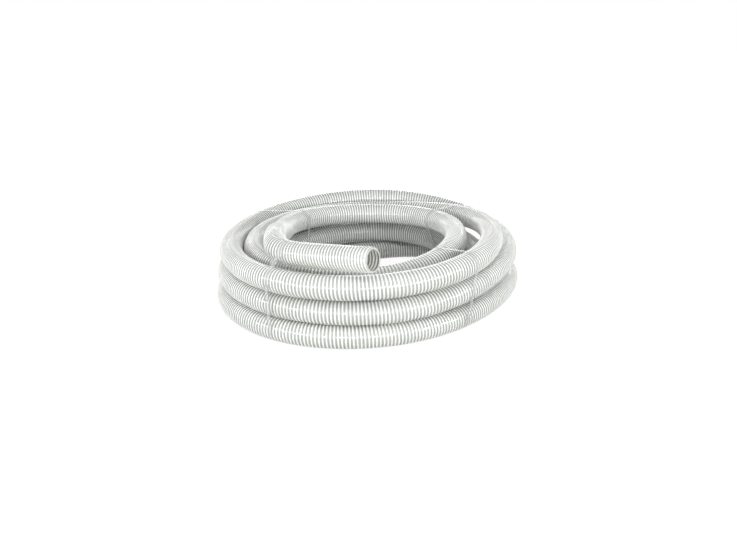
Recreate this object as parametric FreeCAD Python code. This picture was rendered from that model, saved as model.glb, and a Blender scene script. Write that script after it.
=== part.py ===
"""Clear suction hose with a white rigid spiral, coiled in three layers and held by four straps.

Millimetres, +Z up. X runs to the right of the photograph, Y away from its viewer. The origin
lies at the centre of the coil's footprint, on the surface that the coil rests on.
"""
import FreeCAD, Part
import math
import os

V = FreeCAD.Vector

# The hose's section
BORE_D = 38.1
WALL_T = 3.7
SPIRAL_WIRE_D = 4.0
SPIRAL_PITCH = 6.7
SPIRAL_PROUD = 1.0
WALL_D = BORE_D + 2 * WALL_T
CREST_D = WALL_D + 2 * SPIRAL_PROUD

# The coil, wound clockwise from above, from the free end on top down to the tail
TURN_GAP = 2.0
LAYER_GAP = 1.5
TURN_STEP = CREST_D + TURN_GAP
LAYER_STEP = CREST_D + LAYER_GAP
REST_CUT = 0.5
# The outermost turn of each layer, bottom first: centre x and y, mean radius,
# what the radius gains towards the sides, and what it gains towards the back right and front left
LAYER_OVALS = (
    (0.4, 7.6, 316.0, -4.5, 27.0),
    (-11.8, -10.2, 301.0, -3.0, 13.0),
    (-9.6, -46.0, 287.5, -2.6, 3.7),
)
# Where the hose lies at each quarter turn, from the left round to the front: turns in from
# the outermost one, the layer, and how far it is lifted in layers
QUARTERS = (
    (2.0, 3, 0.45), (2.0, 3, 0.15), (1.9, 3, 0.4), (1.4, 3, 0),
    (0.85, 3, 0), (1, 3, 0), (0.4, 3, 0.55), (0, 3, 0.2),
    (-0.15, 3, 0), (-0.2, 3, 0.35), (-0.25, 2, 0.6), (-0.05, 2, 0),
    (0.05, 2, 0), (1, 2, 0), (1, 2, 0), (1, 2, 0),
    (1.9, 2, 0), (2.35, 2, 0), (2.05, 2, 0), (2, 1, 0),
    (2.2, 1, 0), (3.15, 1, 0), (1, 1, 0), (1, 1, 0),
    (1, 1, 0), (1, 1, 0), (0, 1, 0), (0, 1, 0),
    (0, 1, 0), (0, 1, 0.02),
)

# The free end, which lies across the front of the coil on top: where its mouth and its bend
# are, how far each clears the top layer, and the straight length between them
MOUTH = (0.7, -355.8)
MOUTH_CLEARS = 22.2
BEND = (-184.8, -202.0)
BEND_CLEARS = 4.0
FREE_END_HEADING = 146.8
FREE_END_DROP = 7.6
FREE_END_STRAIGHT = 165.5
BEND_HEADING = 94.3
BEND_RISE = 3.5

# The tail, which leaves the bottom layer at the back
TAIL_STRAIGHT = 142.5

# The straps round the coil, by the direction in which each lies from the coil's centre
STRAP_W = 10.0
STRAP_T = 0.8
STRAP_BITE = 0.3
STRAPS = {
    "strap_front_left": -124.0,
    "strap_front_right": -48.0,
    "strap_back_right": 31.0,
    "strap_back_left": 153.0,
}
STRAP_CENTRE = (-9.6, -27.0)

POINTS_PER_ARC = 24
COLUMN_LANE, COLUMN_LAYER, COLUMN_LIFT = range(3)


def heading(turned, rise):
    """Unit vector from a direction in plan and a rise above level, in degrees."""
    a, b = math.radians(turned), math.radians(rise)
    return V(math.cos(b) * math.cos(a), math.cos(b) * math.sin(a), math.sin(b))


def layer_oval(layer):
    """The oval of a layer, or of a height between two layers."""
    low = min(int(layer), len(LAYER_OVALS) - 1)
    share = layer - low
    return [a + (b - a) * share for a, b in zip(LAYER_OVALS[low - 1], LAYER_OVALS[low])]


def slopes(column):
    """Change per quarter turn of one column of QUARTERS, level where it turns back."""
    values = [row[column] for row in QUARTERS]
    found = [0.0] * len(values)
    for i in range(1, len(values) - 1):
        before, after = values[i] - values[i - 1], values[i + 1] - values[i]
        if before * after > 0:
            found[i] = (before + after) / 2
    return found


def layer_height(layer):
    """Height of the hose's centreline in a layer."""
    return CREST_D / 2 - REST_CUT + LAYER_STEP * (layer - 1)


def coil_stations():
    """A point and a direction of the hose's centreline at each quarter turn."""
    quarter = -math.pi / 2
    lane_slope, layer_slope, lift_slope = slopes(COLUMN_LANE), slopes(COLUMN_LAYER), slopes(COLUMN_LIFT)
    found = []
    for i, (lane, layer, lift) in enumerate(QUARTERS):
        angle = quarter * (i + 2)
        cx, cy, mean, sides, skew = layer_oval(layer)
        r = mean + sides * math.cos(2 * angle) + skew * math.sin(2 * angle) - TURN_STEP * lane
        gain = 2 * quarter * (skew * math.cos(2 * angle) - sides * math.sin(2 * angle))
        gain -= TURN_STEP * lane_slope[i]
        out = V(math.cos(angle), math.sin(angle), 0)
        ahead = V(-math.sin(angle), math.cos(angle), 0)
        z = layer_height(layer + lift)
        climb = V(0, 0, LAYER_STEP * (layer_slope[i] + lift_slope[i]))
        found.append((V(cx, cy, z) + out * r, (out * gain + ahead * (r * quarter) + climb).normalize()))
    return found


def biarc(start, end):
    """Two arcs that leave one station along its direction and reach the next along its own."""
    (p0, t0), (p1, t1) = start, end
    v, t = p1 - p0, t0 + t1
    k = 2 * (1 - t0.dot(t1))
    if k < 1e-9:
        reach = v.dot(v) / (4 * v.dot(t0))
    else:
        reach = (-v.dot(t) + math.sqrt(v.dot(t) ** 2 + k * v.dot(v))) / k
    a, b = p0 + t0 * reach, p1 - t1 * reach
    middle = (a + b) * 0.5
    return [(p0, t0, middle), (middle, (b - a).normalize(), p1)]


def arc_points(start, direction, end, count):
    """Points on the arc that leaves start along direction and reaches end, with both ends."""
    v = end - start
    along = v.dot(direction)
    side = v - direction * along
    across = side.Length
    if across < 1e-7:
        return [start + v * (i / count) for i in range(count + 1)]
    side = side / across
    radius = v.dot(v) / (2 * across)
    sweep = 2 * math.atan2(across, along)
    steps = [sweep * i / count for i in range(count + 1)]
    return [start + direction * (radius * math.sin(s)) + side * (radius * (1 - math.cos(s))) for s in steps]


def arc_edge(start, direction, end):
    """The same arc as an edge, or a line where it is straight."""
    if (end - start).cross(direction).Length < 1e-6:
        return Part.LineSegment(start, end).toShape()
    middle = arc_points(start, direction, end, 2)[1]
    return Part.Arc(start, middle, end).toShape()


def tube(spine, diameter, start, direction):
    """Solid of a round section swept along a wire."""
    sweep = Part.BRepOffsetAPI.MakePipeShell(spine)
    sweep.add(Part.Wire(Part.makeCircle(diameter / 2, start, direction)))
    sweep.build()
    sweep.makeSolid()
    return sweep.shape()


def one_solid(shape):
    """The only solid of a shape."""
    if len(shape.Solids) != 1:
        raise RuntimeError("expected one solid, found %d" % len(shape.Solids))
    return shape.Solids[0]


def straight_wall(mouth, into, length):
    """Straight length of the clear wall, from its cut end."""
    outer = Part.makeCylinder(WALL_D / 2, length, mouth, into)
    return one_solid(outer.cut(Part.makeCylinder(BORE_D / 2, length, mouth, into)))


def straight_spiral(mouth, into, length):
    """The white spiral in a straight length, as one wire wound at its real pitch."""
    across = into.cross(V(0, 0, 1)).normalize()
    up = across.cross(into)
    r = (CREST_D - SPIRAL_WIRE_D) / 2
    halves = int((length - SPIRAL_WIRE_D) / SPIRAL_PITCH * 2)
    spare = (length - halves * SPIRAL_PITCH / 2) / 2

    def station(i):
        a = math.pi * i
        axis = mouth + into * (spare + SPIRAL_PITCH * i / 2)
        point = axis + across * (r * math.cos(a)) + up * (r * math.sin(a))
        way = up * (r * math.cos(a)) - across * (r * math.sin(a)) + into * (SPIRAL_PITCH / (2 * math.pi))
        return point, way.normalize()

    edges = []
    for i in range(halves):
        edges += [arc_edge(*arc) for arc in biarc(station(i), station(i + 1))]
    point, way = station(0)
    return one_solid(tube(Part.Wire(edges), SPIRAL_WIRE_D, point, way))


def hull(points):
    """Corners of the convex outline of points in a plane, anticlockwise."""
    points = sorted(set(points))
    sides = []
    for run in (points, points[::-1]):
        side = []
        for p in run:
            while len(side) > 1 and ((side[-1][0] - side[-2][0]) * (p[1] - side[-2][1])
                                     <= (side[-1][1] - side[-2][1]) * (p[0] - side[-2][0])):
                side.pop()
            side.append(p)
        sides += side[:-1]
    return sides


def strap_wire(corners, r, place):
    """Wire that runs round circles of one radius, as lines joined by arcs."""
    count = len(corners)
    edges = []
    ends = []
    for i in range(count):
        (x0, z0), (x1, z1) = corners[i], corners[(i + 1) % count]
        d = math.hypot(x1 - x0, z1 - z0)
        nx, nz = (z1 - z0) / d, -(x1 - x0) / d
        ends.append(((x0 + nx * r, z0 + nz * r), (x1 + nx * r, z1 + nz * r), (nx, nz)))
    for i in range(count):
        edges.append(Part.LineSegment(place(*ends[i][0]), place(*ends[i][1])).toShape())
        (ax, az), (bx, bz) = ends[i][2], ends[(i + 1) % count][2]
        d = math.hypot(ax + bx, az + bz)
        cx, cz = corners[(i + 1) % count]
        middle = place(cx + r * (ax + bx) / d, cz + r * (az + bz) / d)
        edges.append(Part.Arc(place(*ends[i][1]), middle, place(*ends[(i + 1) % count][0])).toShape())
    return Part.Wire(edges)


def strap(direction, line):
    """Flat strap pulled tight round every turn that lies in one direction from the centre."""
    a = math.radians(direction)
    out, side = V(math.cos(a), math.sin(a), 0), V(-math.sin(a), math.cos(a), 0)
    centre = V(STRAP_CENTRE[0], STRAP_CENTRE[1], 0)
    reach = CREST_D / 2 - STRAP_BITE
    lowest = reach + STRAP_T
    found = []
    for p, q in zip(line, line[1:]):
        before, after = (p - centre).dot(side), (q - centre).dot(side)
        if before * after < 0 and (p - centre).dot(out) > 0:
            hit = p + (q - p) * (before / (before - after))
            found.append(((hit - centre).dot(out), max(hit.z, lowest)))

    def place(x, z):
        return centre + out * x + side * (-STRAP_W / 2) + V(0, 0, z)

    corners = hull(found)
    rings = []
    for r in (reach + STRAP_T, reach):
        face = Part.Face(strap_wire(corners, r, place))
        rings.append(face.extrude(side * STRAP_W))
    return one_solid(rings[0].cut(rings[1]))


def least_gap(line):
    """Least distance between the surfaces of stretches of the hose that aren't neighbours."""
    run = [0.0]
    for p, q in zip(line, line[1:]):
        run.append(run[-1] + (q - p).Length)
    apart = 3.5 * CREST_D
    least = 1e9
    for i in range(0, len(line), 3):
        for j in range(i + 1, len(line)):
            if run[j] - run[i] > apart and abs(line[i].z - line[j].z) < 2 * CREST_D:
                way = line[j] - line[j - 1]
                v = line[i] - line[j]
                along = max(-1.0, min(1.0, v.dot(way) / way.dot(way)))
                least = min(least, (v - way * along).Length)
    return least - CREST_D


def main():
    os.makedirs("parts", exist_ok=True)

    top = layer_height(len(LAYER_OVALS)) + CREST_D
    mouth = V(*MOUTH, top + MOUTH_CLEARS)
    into = heading(FREE_END_HEADING, -FREE_END_DROP)
    root = mouth + into * FREE_END_STRAIGHT
    seam = root - into * CREST_D
    free_end_l = FREE_END_STRAIGHT - CREST_D
    bend = V(*BEND, top + BEND_CLEARS)
    stations = [(root, into), (bend, heading(BEND_HEADING, BEND_RISE))] + coil_stations()
    tail_start, tail_way = stations[-1]
    tail_seam = tail_start + tail_way * CREST_D
    tail_mouth = tail_start + tail_way * TAIL_STRAIGHT
    tail_end_l = TAIL_STRAIGHT - CREST_D

    arcs = []
    for start, end in zip(stations, stations[1:]):
        arcs += biarc(start, end)
    edges = [Part.LineSegment(seam, root).toShape()]
    edges += [arc_edge(*arc) for arc in arcs]
    edges += [Part.LineSegment(tail_start, tail_seam).toShape()]
    spine = Part.Wire(edges)

    line = [mouth + (root - mouth) * (i / POINTS_PER_ARC) for i in range(POINTS_PER_ARC)]
    for arc in arcs:
        line += arc_points(*arc, POINTS_PER_ARC)[:-1]
    tail = tail_mouth - tail_start
    line += [tail_start + tail * (i / POINTS_PER_ARC) for i in range(POINTS_PER_ARC + 1)]

    room = 4 * LAYER_OVALS[0][2]
    above = Part.makeBox(room, room, room, V(-room / 2, -room / 2, 0))
    coil = tube(spine, CREST_D, seam, into).cut(tube(spine, BORE_D, seam, into))
    expected = spine.Length * math.pi / 4 * (CREST_D ** 2 - BORE_D ** 2)
    print("coil wall: volume %.0f, section times length %.0f" % (coil.Volume, expected))

    nodes = {
        "hose_free_end_wall": straight_wall(mouth, into, free_end_l),
        "hose_free_end_spiral": straight_spiral(mouth, into, free_end_l),
        "hose_coil_wall": one_solid(coil.common(above)),
        "hose_tail_end_wall": straight_wall(tail_mouth, -tail_way, tail_end_l),
        "hose_tail_end_spiral": straight_spiral(tail_mouth, -tail_way, tail_end_l),
    }
    for name, direction in STRAPS.items():
        nodes[name] = strap(direction, line)

    for name, solid in nodes.items():
        if not solid.isValid():
            raise RuntimeError(name + " isn't valid")
        solid.exportStep(os.path.join("parts", name + ".step"))
        print("%-22s volume %.0f mm3" % (name, solid.Volume))

    hose = free_end_l + spine.Length + tail_end_l
    print("hose length %.0f mm, least gap between turns %.2f mm" % (hose, least_gap(line)))
    half = CREST_D / 2
    print("centreline box x %.1f to %.1f, y %.1f to %.1f, top %.1f" % (
        min(p.x for p in line) - half, max(p.x for p in line) + half,
        min(p.y for p in line) - half, max(p.y for p in line) + half, max(p.z for p in line) + half))
    print("mouth", [round(c, 2) for c in mouth], "out of it", [round(-c, 5) for c in into])
    print("tail mouth", [round(c, 2) for c in tail_mouth], "out of it", [round(c, 5) for c in tail_way])


main()
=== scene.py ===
"""Clear suction hose with a white spiral in its wall, coiled in three layers and held by four straps."""
import math
import bpy
import numpy as np
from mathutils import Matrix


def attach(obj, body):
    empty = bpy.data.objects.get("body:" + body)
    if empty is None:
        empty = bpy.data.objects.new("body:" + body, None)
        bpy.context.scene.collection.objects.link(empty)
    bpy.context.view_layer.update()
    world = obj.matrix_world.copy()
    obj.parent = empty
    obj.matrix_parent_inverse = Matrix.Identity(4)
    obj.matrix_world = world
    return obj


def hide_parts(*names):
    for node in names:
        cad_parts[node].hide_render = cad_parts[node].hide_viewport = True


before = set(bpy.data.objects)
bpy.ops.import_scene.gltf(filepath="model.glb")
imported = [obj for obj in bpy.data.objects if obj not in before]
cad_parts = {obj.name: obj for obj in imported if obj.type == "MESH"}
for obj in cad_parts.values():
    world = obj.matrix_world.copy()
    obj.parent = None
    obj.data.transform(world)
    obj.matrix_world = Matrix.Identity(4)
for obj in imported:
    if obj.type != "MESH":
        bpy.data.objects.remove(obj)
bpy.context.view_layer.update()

MM = 0.001

# The camera, from a fit of the coil's outlines to the photograph
CAMERA_PLACE = (-0.0076, -1.5045, 0.6127)
CAMERA_BELOW_LEVEL = 20.909
CAMERA_LENS = 34.35
CAMERA_SENSOR = 36.0

# The hose's section, in millimetres
BORE_R = 19.05
WALL_R = 22.75
SPIRAL_PROUD = 1.0
CREST_R = WALL_R + SPIRAL_PROUD
WIRE_R = 2.0
SPIRAL_PITCH = 6.7
SPIRAL_PIECES = 4

# The coil, as in the part's source, in millimetres
TURN_GAP = 2.0
LAYER_GAP = 1.5
REST_CUT = 0.5
TURN_STEP = 2 * CREST_R + TURN_GAP
LAYER_STEP = 2 * CREST_R + LAYER_GAP
LOWEST = CREST_R - REST_CUT
# The outermost turn of each layer, bottom first: centre x and y, mean radius,
# what the radius gains towards the sides, and what it gains towards the back right and front left
LAYER_OVALS = (
    (0.4, 7.6, 316.0, -4.5, 27.0),
    (-11.8, -10.2, 301.0, -3.0, 13.0),
    (-9.6, -46.0, 287.5, -2.6, 3.7),
)
# Where the hose lies at each quarter turn, in rows of left, back, right and front: turns in
# from the outermost one, the layer, and how far it is lifted in layers
QUARTERS = (
    (2.0, 3, 0.45), (2.0, 3, 0.15), (1.9, 3, 0.4), (1.4, 3, 0),
    (0.85, 3, 0), (1, 3, 0), (0.4, 3, 0.55), (0, 3, 0.2),
    (-0.15, 3, 0), (-0.2, 3, 0.35), (-0.25, 2, 0.6), (-0.05, 2, 0),
    (0.05, 2, 0), (1, 2, 0), (1, 2, 0), (1, 2, 0),
    (1.9, 2, 0), (2.35, 2, 0), (2.05, 2, 0), (2, 1, 0),
    (2.2, 1, 0), (3.15, 1, 0), (1, 1, 0), (1, 1, 0),
    (1, 1, 0), (1, 1, 0), (0, 1, 0), (0, 1, 0),
    (0, 1, 0), (0, 1, 0.02),
)
STEPS_PER_QUARTER = 12
# The free end and its bend, from the mouth in to the coil's first quarter turn
FREE_END = (
    (0.7, -355.8, 191.0), (-58.0, -317.4, 181.6), (-112.0, -282.0, 173.0), (-160.0, -250.6, 166.6),
    (-186.0, -224.0, 168.0), (-193.0, -180.0, 171.5), (-195.5, -140.0, 169.0), (-195.8, -95.0, 156.0),
)
# The straight tail, the shares of it where its points lie, and the part of a quarter turn
# before the coil's end that gives its direction
TAIL_L = 142.5
TAIL_SHARES = (0.35, 0.7, 1.0)
LAST_BIT = 0.001

# The straps, in millimetres, and the direction in which each lies from the coil's centre
STRAP_W = 10.0
STRAP_T = 0.5
STRAP_CENTRE = (-9.6, -27.0)
STRAPS = {
    "strap_front_left": -124.0,
    "strap_front_right": -48.0,
    "strap_back_right": 31.0,
    "strap_back_left": 153.0,
}
# A strap's edges are painted dark as shade between two turns whose centres are further apart than this
STRAP_SPAN = 60.0
# The film's slight waves: their height, and their phase per column and per metre outwards
STRAP_WAVE = 0.10
STRAP_WAVE_ACROSS = 1.7
STRAP_WAVE_ALONG = 260.0
OUTER_SHEET, INNER_SHEET = 0, 1

# Sockets of a Mix node, whose names repeat for each kind of value
MIX_SHARE, MIX_A, MIX_B, MIX_RESULT = 0, 6, 7, 2

WHITE = (1, 1, 1, 1)
PLASTIC_IOR = 1.53
# Where a noise's colours start and end
NOISE_LOW, NOISE_HIGH = 0.35, 0.65
# How opaque the skin is from outside and from within, where it is painted near black as shade inside the hose
SKIN_OPAQUE = (0.6, 0.88)
# How far from an open end the bore, whose dark grey is painted shade, starts and stops growing opaque, in
# metres, and how opaque
BORE_DEPTHS = (0.04, 0.13)
BORE_OPAQUE = (0.12, 0.94)

# A band of lamps round the front, which draws the thin bright line along each turn
BAND_RADIUS = 1.7
BAND_HEIGHT = 0.5
BAND_AIM = 0.1
BAND_STEP = 30.0
BAND_TALL = 0.11
BAND_POWERS = (5.2, 5.4, 5.6, 5.4, 5.2)
BAND_MIDDLE = (1.0, 0.985, 0.955)
BAND_SIDE = (0.92, 0.965, 1.0)
# The other lamps: place, what each one faces, width and height, and power
LAMPS = {
    "front": ((0, -1.35, 1.25), (0, 0, 0.08), (2.4, 1.1), 7.0),
    "top": ((0, -0.7, 1.2), (0, -0.7, 0), (2.0, 0.6), 3.0),
    "behind": ((0, 1.8, 0.5), (0, 0, 0.1), (2.8, 0.6), 20.0),
}
WORLD_LEVEL = 0.28
WORLD_COLOUR = (0.93, 0.97, 1.0, 1)

# The floor, how far from the middle its share of white starts and stops growing, and that share
FLOOR_REACH = 8.0
FLOOR_COLOUR = (0.55, 0.55, 0.55, 1)
FLOOR_GLOW = 1.17
FLOOR_FADE = (0.42, 0.75)
FLOOR_WHITE = (0.8, 1.0)


def make_camera():
    """The camera at the photograph's viewing angle."""
    lens = bpy.data.cameras.new("camera")
    lens.lens = CAMERA_LENS
    lens.sensor_width = CAMERA_SENSOR
    camera = bpy.data.objects.new("camera", lens)
    camera.location = CAMERA_PLACE
    camera.rotation_euler = (math.radians(90 - CAMERA_BELOW_LEVEL), 0, 0)
    bpy.context.collection.objects.link(camera)
    bpy.context.scene.camera = camera


def slopes(column):
    """Change per quarter turn of one column of QUARTERS, level where it turns back."""
    values = [row[column] for row in QUARTERS]
    found = [0.0] * len(values)
    for i in range(1, len(values) - 1):
        before, after = values[i] - values[i - 1], values[i + 1] - values[i]
        if before * after > 0:
            found[i] = (before + after) / 2
    return found


SLOPES = [slopes(column) for column in range(3)]


def between(column, at):
    """Value of one column of QUARTERS at any place between two of its rows, smoothly."""
    i = min(int(at), len(QUARTERS) - 2)
    t = at - i
    a, b = QUARTERS[i][column], QUARTERS[i + 1][column]
    da, db = SLOPES[column][i], SLOPES[column][i + 1]
    return ((2 * t ** 3 - 3 * t ** 2 + 1) * a + (t ** 3 - 2 * t ** 2 + t) * da
            + (3 * t ** 2 - 2 * t ** 3) * b + (t ** 3 - t ** 2) * db)


def coil_point(at):
    """Point of the hose's centreline, by quarter turns from the coil's first one."""
    lane, layer, lift = (between(column, at) for column in range(3))
    low = min(int(layer), len(LAYER_OVALS) - 1)
    share = layer - low
    pair = zip(LAYER_OVALS[low - 1], LAYER_OVALS[low])
    cx, cy, mean, sides, skew = (a + (b - a) * share for a, b in pair)
    angle = -math.pi / 2 * (at + 2)
    r = mean + sides * math.cos(2 * angle) + skew * math.sin(2 * angle) - TURN_STEP * lane
    return (cx + r * math.cos(angle), cy + r * math.sin(angle), LOWEST + LAYER_STEP * (layer - 1 + lift))


def hose_route():
    """Control points of the hose's line from its mouth to its tail, in millimetres."""
    last = len(QUARTERS) - 1
    turns = [coil_point(i / STEPS_PER_QUARTER) for i in range(last * STEPS_PER_QUARTER + 1)]
    end, before = np.array(turns[-1]), np.array(coil_point(last - LAST_BIT))
    way = (end - before) * (1, 1, 0)
    way = way / np.linalg.norm(way)
    tail = [tuple(end + way * TAIL_L * share) for share in TAIL_SHARES]
    return list(FREE_END) + turns + tail


def smooth_line(points, resolution=4):
    """Points along the NURBS spline that has these control points, in metres."""
    curve = bpy.data.curves.new("hose_line", "CURVE")
    curve.dimensions = "3D"
    curve.resolution_u = resolution
    spline = curve.splines.new("NURBS")
    spline.points.add(len(points) - 1)
    for place, point in zip(spline.points, points):
        place.co = (point[0] * MM, point[1] * MM, point[2] * MM, 1)
    spline.order_u = 3
    spline.use_endpoint_u = True
    holder = bpy.data.objects.new("hose_line", curve)
    bpy.context.collection.objects.link(holder)
    mesh = bpy.data.meshes.new_from_object(holder)
    line = np.array([v.co[:] for v in mesh.vertices])
    bpy.data.objects.remove(holder)
    bpy.data.curves.remove(curve)
    bpy.data.meshes.remove(mesh)
    return line


def frames(line):
    """Directions along a line, and two across it that don't twist."""
    along = np.gradient(line, axis=0)
    along /= np.linalg.norm(along, axis=1, keepdims=True)
    side = np.zeros_like(line)
    first = np.cross(along[0], (0, 0, 1))
    side[0] = first / np.linalg.norm(first)
    for i in range(1, len(line)):
        s = side[i - 1] - along[i] * (side[i - 1] @ along[i])
        side[i] = s / np.linalg.norm(s)
    return along, side, np.cross(along, side)


def lengths(line):
    """Length along a line at each of its points."""
    steps = np.linalg.norm(np.diff(line, axis=0), axis=1)
    return np.concatenate([[0], np.cumsum(steps)])


def resample(line, places):
    """The line and its frame at given lengths along it."""
    run = lengths(line)
    _, side, up = frames(line)

    def read(values):
        return np.stack([np.interp(places, run, values[:, k]) for k in range(3)], 1)

    side, up = read(side), read(up)
    side /= np.linalg.norm(side, axis=1, keepdims=True)
    up /= np.linalg.norm(up, axis=1, keepdims=True)
    return read(line), side, up


def make_mesh(name, vertices, faces, slots, material_of=None, smooth=True):
    """A piece from its vertices, its faces and, where it has several, each face's material."""
    mesh = bpy.data.meshes.new(name)
    mesh.from_pydata(np.asarray(vertices).tolist(), [], faces)
    for material in slots:
        mesh.materials.append(material)
    if material_of is not None:
        mesh.polygons.foreach_set("material_index", np.asarray(material_of, dtype=np.int32))
    mesh.polygons.foreach_set("use_smooth", np.full(len(mesh.polygons), smooth))
    mesh.update()
    piece = bpy.data.objects.new(name, mesh)
    bpy.context.collection.objects.link(piece)
    return piece


def grid_faces(rows, columns, start=0, flip=False):
    """Quads of a grid of rows that close on themselves."""
    i, j = np.meshgrid(np.arange(rows - 1), np.arange(columns), indexing="ij")
    nxt = (j + 1) % columns
    a, b = start + i * columns + j, start + i * columns + nxt
    c, d = start + (i + 1) * columns + nxt, start + (i + 1) * columns + j
    quads = np.stack([a, b, c, d] if not flip else [d, c, b, a], -1)
    return quads.reshape(-1, 4)


def make_wall(line, materials, sides=34):
    """The clear wall: an outer skin, the bore, and a cut ring at each end."""
    _, side, up = frames(line)
    turn = np.arange(sides) / sides * 2 * math.pi
    ring = np.cos(turn)[None, :, None] * side[:, None] + np.sin(turn)[None, :, None] * up[:, None]
    outer = line[:, None] + ring * WALL_R * MM
    inner = line[:, None] + ring * BORE_R * MM
    rows = len(line)
    vertices = np.concatenate([outer.reshape(-1, 3), inner.reshape(-1, 3)])
    vertices[:, 2] = np.maximum(vertices[:, 2], 0)
    skin = grid_faces(rows, sides)
    bore = grid_faces(rows, sides, rows * sides, flip=True)
    j = np.arange(sides)
    nxt = (j + 1) % sides
    last = (rows - 1) * sides
    mouth = np.stack([j, j + rows * sides, nxt + rows * sides, nxt], 1)
    tail = np.stack([last + j, last + nxt, last + nxt + rows * sides, last + j + rows * sides], 1)
    faces = np.concatenate([skin, bore, mouth, tail]).tolist()
    material_of = [0] * len(skin) + [1] * len(bore) + [2] * (len(mouth) + len(tail))
    wall = make_mesh("hose_wall", vertices, faces, materials, material_of)
    run = lengths(line)
    depth = np.repeat(np.minimum(run, run[-1] - run), sides)
    deep = wall.data.attributes.new("depth", "FLOAT", "POINT")
    deep.data.foreach_set("value", np.tile(depth, 2).astype(np.float32))
    return wall


def make_spiral(name, line, start, end, material, per_turn=24, sides=6):
    """A stretch of the white wire, wound round the hose's line at its real pitch."""
    count = int((end - start) / (SPIRAL_PITCH * MM) * per_turn)
    places = start + np.arange(count + 1) * SPIRAL_PITCH * MM / per_turn
    centre, side, up = resample(line, places)
    turn = 2 * math.pi * places / (SPIRAL_PITCH * MM)
    out = np.cos(turn)[:, None] * side + np.sin(turn)[:, None] * up
    wire = centre + out * (CREST_R - WIRE_R) * MM
    along = np.gradient(wire, axis=0)
    along /= np.linalg.norm(along, axis=1, keepdims=True)
    across = np.cross(along, out)
    ring = np.arange(sides) / sides * 2 * math.pi
    offsets = np.cos(ring)[None, :, None] * out[:, None] + np.sin(ring)[None, :, None] * across[:, None]
    vertices = (wire[:, None] + offsets * WIRE_R * MM).reshape(-1, 3)
    vertices[:, 2] = np.maximum(vertices[:, 2], 0)
    faces = grid_faces(count + 1, sides, flip=True).tolist()
    last = count * sides
    faces.append(list(range(sides)))
    faces.append([last + j for j in reversed(range(sides))])
    return make_mesh(name, vertices, faces, [material])


def hull(points):
    """Corners of the convex outline of points in a plane, anticlockwise."""
    points = sorted(set(points))
    sides = []
    for run in (points, points[::-1]):
        side = []
        for p in run:
            while len(side) > 1 and ((side[-1][0] - side[-2][0]) * (p[1] - side[-2][1])
                                     <= (side[-1][1] - side[-2][1]) * (p[0] - side[-2][0])):
                side.pop()
            side.append(p)
        sides += side[:-1]
    return sides


def strap_loop(corners, r, arc_step=math.radians(6), line_step=6.0 * MM):
    """Points round circles about the corners, with where each one faces and if it spans a gap."""
    count = len(corners)
    normals = []
    for i in range(count):
        (x0, z0), (x1, z1) = corners[i], corners[(i + 1) % count]
        normals.append(math.atan2(-(x1 - x0), z1 - z0))
    points = []
    for i in range(count):
        x, z = corners[i]
        a0 = normals[i - 1]
        a1 = normals[i]
        while a1 < a0:
            a1 += 2 * math.pi
        steps = max(2, int((a1 - a0) / arc_step))
        for k in range(steps + 1):
            a = a0 + (a1 - a0) * k / steps
            points.append((x + r * math.cos(a), z + r * math.sin(a), a, False))
        nx, nz = corners[(i + 1) % count]
        far = math.hypot(nx - x, nz - z)
        steps = int(far / line_step)
        for k in range(1, steps):
            share = k / steps
            px = x + (nx - x) * share + r * math.cos(a1)
            pz = z + (nz - z) * share + r * math.sin(a1)
            points.append((px, pz, a1, far > STRAP_SPAN * MM))
    return points


def make_strap(name, direction, line, materials, columns=9):
    """A thin strap pulled tight round the turns that lie in one direction from the centre."""
    a = math.radians(direction)
    out = np.array([math.cos(a), math.sin(a), 0])
    side = np.array([-math.sin(a), math.cos(a), 0])
    centre = np.array([STRAP_CENTRE[0] * MM, STRAP_CENTRE[1] * MM, 0])
    rel = line - centre
    across, ahead = rel @ side, rel @ out
    found = []
    for i in np.nonzero((across[:-1] * across[1:] < 0) & (ahead[:-1] > 0))[0]:
        share = across[i] / (across[i] - across[i + 1])
        hit = rel[i] + (rel[i + 1] - rel[i]) * share
        found.append((float(hit @ out), max(float(hit[2]), (CREST_R + STRAP_T) * MM)))
    loop = strap_loop(hull(found), CREST_R * MM)
    rows = len(loop)
    vertices = []
    for thick in (STRAP_T * MM, 0.0):
        for k in range(columns):
            w = (k / (columns - 1) - 0.5) * STRAP_W * MM
            wave = STRAP_WAVE * MM * math.sin(STRAP_WAVE_ACROSS * k + direction)
            for x, z, n, _ in loop:
                push = thick + wave * math.sin(x * STRAP_WAVE_ALONG + k)
                place = centre + out * (x + push * math.cos(n)) + side * w
                place[2] = max(z + push * math.sin(n), 0.0)
                vertices.append(place)
    faces, material_of = [], []

    def quad(*corners):
        """Add a face whose corners are given by sheet, column and row."""
        faces.append([(sheet * columns + k) * rows + i % rows for sheet, k, i in corners])

    edge = columns - 1
    for i in range(rows):
        j = i + 1
        spans = loop[i][3]
        for k in range(edge):
            quad((OUTER_SHEET, k, i), (OUTER_SHEET, k, j), (OUTER_SHEET, k + 1, j), (OUTER_SHEET, k + 1, i))
            quad((INNER_SHEET, k + 1, i), (INNER_SHEET, k + 1, j), (INNER_SHEET, k, j), (INNER_SHEET, k, i))
            # Painted shade: the edge strips where the strap spans a gap take the dark edge material.
            material_of += [int(spans and k in (0, edge - 1))] * 2
        quad((OUTER_SHEET, 0, j), (OUTER_SHEET, 0, i), (INNER_SHEET, 0, i), (INNER_SHEET, 0, j))
        quad((OUTER_SHEET, edge, i), (OUTER_SHEET, edge, j), (INNER_SHEET, edge, j), (INNER_SHEET, edge, i))
        material_of += [int(spans)] * 2
    return make_mesh(name, vertices, faces, materials, material_of)


def new_material(name):
    """A material with its nodes, its links and its main shader."""
    material = bpy.data.materials.new(name)
    material.use_nodes = True
    tree = material.node_tree
    return material, tree.nodes, tree.links, tree.nodes["Principled BSDF"]


def set_values(node, values):
    """Set a node's sockets by name."""
    for name, value in values.items():
        node.inputs[name].default_value = value


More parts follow.
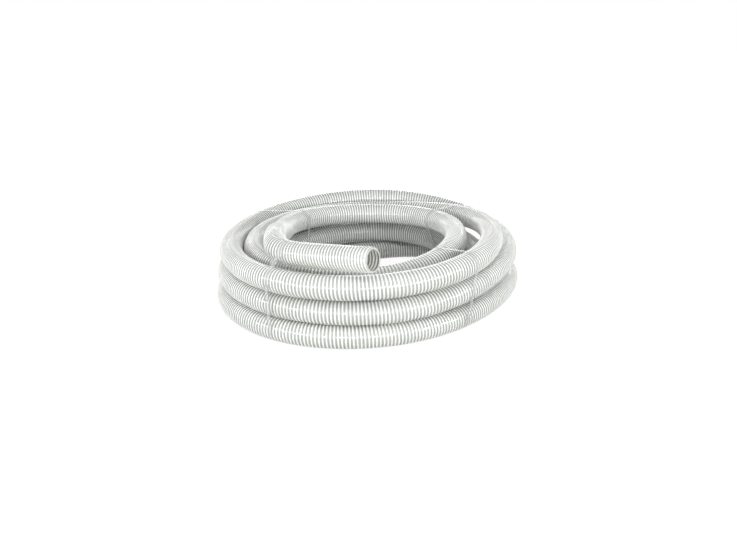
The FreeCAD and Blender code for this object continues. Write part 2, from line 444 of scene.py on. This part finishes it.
def noise(nodes, links, scale):
    """Noise that is fixed to the object."""
    place = nodes.new("ShaderNodeTexCoord")
    texture = nodes.new("ShaderNodeTexNoise")
    set_values(texture, {"Scale": scale, "Detail": 3.0})
    links.new(place.outputs["Object"], texture.inputs["Vector"])
    return texture.outputs["Fac"]


def colour_by(nodes, links, scale, low, high, target):
    """Vary a colour between two by noise of one scale."""
    fac = noise(nodes, links, scale)
    ramp = nodes.new("ShaderNodeValToRGB")
    ramp.color_ramp.elements[0].position = NOISE_LOW
    ramp.color_ramp.elements[0].color = (*low, 1)
    ramp.color_ramp.elements[1].position = NOISE_HIGH
    ramp.color_ramp.elements[1].color = (*high, 1)
    links.new(fac, ramp.inputs["Fac"])
    links.new(ramp.outputs["Color"], target)


def bump(nodes, links, shader, scale, distance, strength):
    """Roughen a shader's surface by noise of one scale."""
    fac = noise(nodes, links, scale)
    node = nodes.new("ShaderNodeBump")
    set_values(node, {"Distance": distance, "Strength": strength})
    links.new(fac, node.inputs["Height"])
    links.new(node.outputs["Normal"], shader.inputs["Normal"])


def map_range(nodes, links, value, source, target, interpolation="LINEAR"):
    """A value carried from one range to another."""
    node = nodes.new("ShaderNodeMapRange")
    node.interpolation_type = interpolation
    set_values(node, {"From Min": source[0], "From Max": source[1], "To Min": target[0], "To Max": target[1]})
    links.new(value, node.inputs["Value"])
    return node.outputs["Result"]


def combine(nodes, links, operation, a, b):
    """Two values combined by one operation."""
    node = nodes.new("ShaderNodeMath")
    node.operation = operation
    links.new(a, node.inputs[0])
    links.new(b, node.inputs[1])
    return node.outputs[0]


def mix_shaders(nodes, links, share, a, b, target):
    """Send a mix of two shaders to an output."""
    mix = nodes.new("ShaderNodeMixShader")
    links.new(share, mix.inputs[0])
    links.new(a, mix.inputs[1])
    links.new(b, mix.inputs[2])
    links.new(mix.outputs[0], target)


def spiral_material():
    """Off-white rigid plastic."""
    material, nodes, links, shader = new_material("white_spiral")
    colour_by(nodes, links, 18.0, (0.86, 0.86, 0.82), (0.94, 0.94, 0.91), shader.inputs["Base Color"])
    set_values(shader, {"Roughness": 0.35, "Coat Weight": 0.4, "Coat Roughness": 0.12})
    return material


def skin_material():
    """The clear wall's outer skin; from within it is near black and less clear, as painted shade inside the
    hose.
    """
    material, nodes, links, shader = new_material("clear_wall")
    within = nodes.new("ShaderNodeNewGeometry").outputs["Backfacing"]
    tone_and_inner_shade = nodes.new("ShaderNodeMix")
    tone_and_inner_shade.data_type = "RGBA"
    colour_by(nodes, links, 9.0, (0.60, 0.625, 0.60), (0.68, 0.705, 0.68), tone_and_inner_shade.inputs[MIX_A])
    # Painted shade: the skin seen from inside the hose is near black.
    tone_and_inner_shade.inputs[MIX_B].default_value = (0.07, 0.075, 0.07, 1)
    links.new(within, tone_and_inner_shade.inputs[MIX_SHARE])
    links.new(tone_and_inner_shade.outputs[MIX_RESULT], shader.inputs["Base Color"])
    links.new(map_range(nodes, links, within, (0, 1), SKIN_OPAQUE), shader.inputs["Alpha"])
    set_values(shader, {"Roughness": 0.1, "IOR": PLASTIC_IOR, "Specular IOR Level": 1.0})
    set_values(shader, {"Coat Weight": 1.0, "Coat Roughness": 0.08})
    bump(nodes, links, shader, 60.0, 0.0004, 0.05)
    return material


def bore_shade_material():
    """The clear wall's bore: the plastic's own greenish tint, darkened as painted shade inside the hose,
    clearer near the open ends.
    """
    material, nodes, links, shader = new_material("clear_wall_bore")
    # Painted shade: the bore's dark greenish grey stands for the dim inside of the hose.
    colour_by(nodes, links, 12.0, (0.22, 0.24, 0.225), (0.30, 0.325, 0.305), shader.inputs["Base Color"])
    depth = nodes.new("ShaderNodeAttribute")
    depth.attribute_name = "depth"
    opaque = map_range(nodes, links, depth.outputs["Fac"], BORE_DEPTHS, BORE_OPAQUE)
    links.new(opaque, shader.inputs["Alpha"])
    set_values(shader, {"Roughness": 0.25, "IOR": PLASTIC_IOR})
    return material


def cut_material():
    """The cut faces at the hose's ends."""
    material, nodes, links, shader = new_material("cut_ring")
    colour_by(nodes, links, 420.0, (0.60, 0.59, 0.54), (0.72, 0.71, 0.67), shader.inputs["Base Color"])
    set_values(shader, {"Roughness": 0.5})
    return material


def strap_material():
    """Thin clear film."""
    material, nodes, links, shader = new_material("strap_film")
    colour_by(nodes, links, 60.0, (0.70, 0.72, 0.72), (0.84, 0.86, 0.86), shader.inputs["Base Color"])
    set_values(shader, {"Alpha": 0.22, "Roughness": 0.16})
    bump(nodes, links, shader, 240.0, 0.0004, 0.3)
    return material


def strap_edge_shade_material():
    """The film's edges where nothing lies behind them, painted dark grey as shade."""
    material, nodes, links, shader = new_material("strap_edge")
    # Painted shade: dark grey for the film's edges over a gap between turns.
    colour_by(nodes, links, 90.0, (0.30, 0.31, 0.31), (0.42, 0.43, 0.43), shader.inputs["Base Color"])
    set_values(shader, {"Alpha": 0.6, "Roughness": 0.3})
    return material


def seen_ray(nodes, links):
    """One where a ray comes from the camera, or shows the background in gloss or glass."""
    ray = nodes.new("ShaderNodeLightPath").outputs
    direct = combine(nodes, links, "MAXIMUM", ray["Is Camera Ray"], ray["Is Transmission Ray"])
    return combine(nodes, links, "MAXIMUM", direct, ray["Is Glossy Ray"])


def make_floor():
    """A pale floor that shows as white away from the coil, and lights it as plain grey."""
    material, nodes, links, shader = new_material("floor")
    set_values(shader, {"Base Color": FLOOR_COLOUR, "Roughness": 0.9, "Specular IOR Level": 0.1})
    glow = nodes.new("ShaderNodeEmission")
    set_values(glow, {"Color": WHITE, "Strength": FLOOR_GLOW})
    place = nodes.new("ShaderNodeTexCoord")
    far = nodes.new("ShaderNodeVectorMath")
    far.operation = "LENGTH"
    links.new(place.outputs["Object"], far.inputs[0])
    fade = map_range(nodes, links, far.outputs["Value"], FLOOR_FADE, FLOOR_WHITE, "SMOOTHSTEP")
    share = combine(nodes, links, "MULTIPLY", seen_ray(nodes, links), fade)
    surface = nodes["Material Output"].inputs["Surface"]
    mix_shaders(nodes, links, share, shader.outputs[0], glow.outputs[0], surface)
    size = FLOOR_REACH
    corners = [(-size, -size, 0), (size, -size, 0), (size, size, 0), (-size, size, 0)]
    floor = make_mesh("floor", corners, [(0, 1, 2, 3)], [material], smooth=False)


def make_world():
    """Soft light from all round, and plain white where the background shows."""
    world = bpy.data.worlds.new("studio")
    bpy.context.scene.world = world
    world.use_nodes = True
    nodes, links = world.node_tree.nodes, world.node_tree.links
    back = nodes["Background"]
    set_values(back, {"Color": WORLD_COLOUR, "Strength": WORLD_LEVEL})
    white = nodes.new("ShaderNodeBackground")
    set_values(white, {"Color": WHITE, "Strength": 1.0})
    surface = nodes["World Output"].inputs["Surface"]
    mix_shaders(nodes, links, seen_ray(nodes, links), back.outputs[0], white.outputs[0], surface)


def make_light(name, place, target, size, power, colour=(1, 1, 1)):
    """An area lamp that faces a target and doesn't show itself to the camera."""
    lamp = bpy.data.lights.new(name, "AREA")
    lamp.shape = "RECTANGLE"
    lamp.size, lamp.size_y = size
    lamp.energy = power
    lamp.color = colour
    light = bpy.data.objects.new(name, lamp)
    light.location = place
    way = np.array(target) - np.array(place)
    flat = math.hypot(way[0], way[1])
    light.rotation_euler = (math.atan2(flat, -way[2]), 0, math.atan2(-way[0], way[1]))
    light.visible_camera = False
    bpy.context.collection.objects.link(light)


def make_lamps():
    """The band of lamps round the front, and the others."""
    last = len(BAND_POWERS) - 1
    wide = 2 * BAND_RADIUS * math.tan(math.radians(BAND_STEP / 2))
    for i, power in enumerate(BAND_POWERS):
        a = math.radians(BAND_STEP * (i - last / 2) - 90)
        place = (BAND_RADIUS * math.cos(a), BAND_RADIUS * math.sin(a), BAND_HEIGHT)
        colour = BAND_SIDE if i in (0, last) else BAND_MIDDLE
        make_light("band_%d" % (i + 1), place, (0, 0, BAND_AIM), (wide, BAND_TALL), power, colour)
    for name, (place, target, size, power) in LAMPS.items():
        make_light(name, place, target, size, power)


def make_hose(line):
    """The clear wall and the white spiral, which together are one cord."""
    total = float(lengths(line)[-1])
    white = spiral_material()
    wall = make_wall(line, [skin_material(), bore_shade_material(), cut_material()])
    spiral = []
    start, end = WIRE_R * MM, total - WIRE_R * MM
    for i in range(SPIRAL_PIECES):
        a = start + (end - start) * i / SPIRAL_PIECES
        b = start + (end - start) * (i + 1) / SPIRAL_PIECES
        spiral.append(make_spiral("hose_spiral_%d" % (i + 1), line, a, b, white))

    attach(wall, "root")
    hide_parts("hose_free_end_wall", "hose_coil_wall", "hose_tail_end_wall")
    for piece in spiral:
        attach(piece, "root")
    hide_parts("hose_free_end_spiral")
    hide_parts("hose_tail_end_spiral")


def make_straps(line):
    """The four straps of film."""
    film = [strap_material(), strap_edge_shade_material()]
    for name, direction in STRAPS.items():
        piece = make_strap(name + "_film", direction, line, film)
        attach(piece, "root")
        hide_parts(name)


def main():
    make_camera()
    line = smooth_line(hose_route())
    make_hose(line)
    make_straps(line)
    make_floor()
    make_world()
    make_lamps()
    bpy.context.scene.view_settings.view_transform = "Standard"


main()
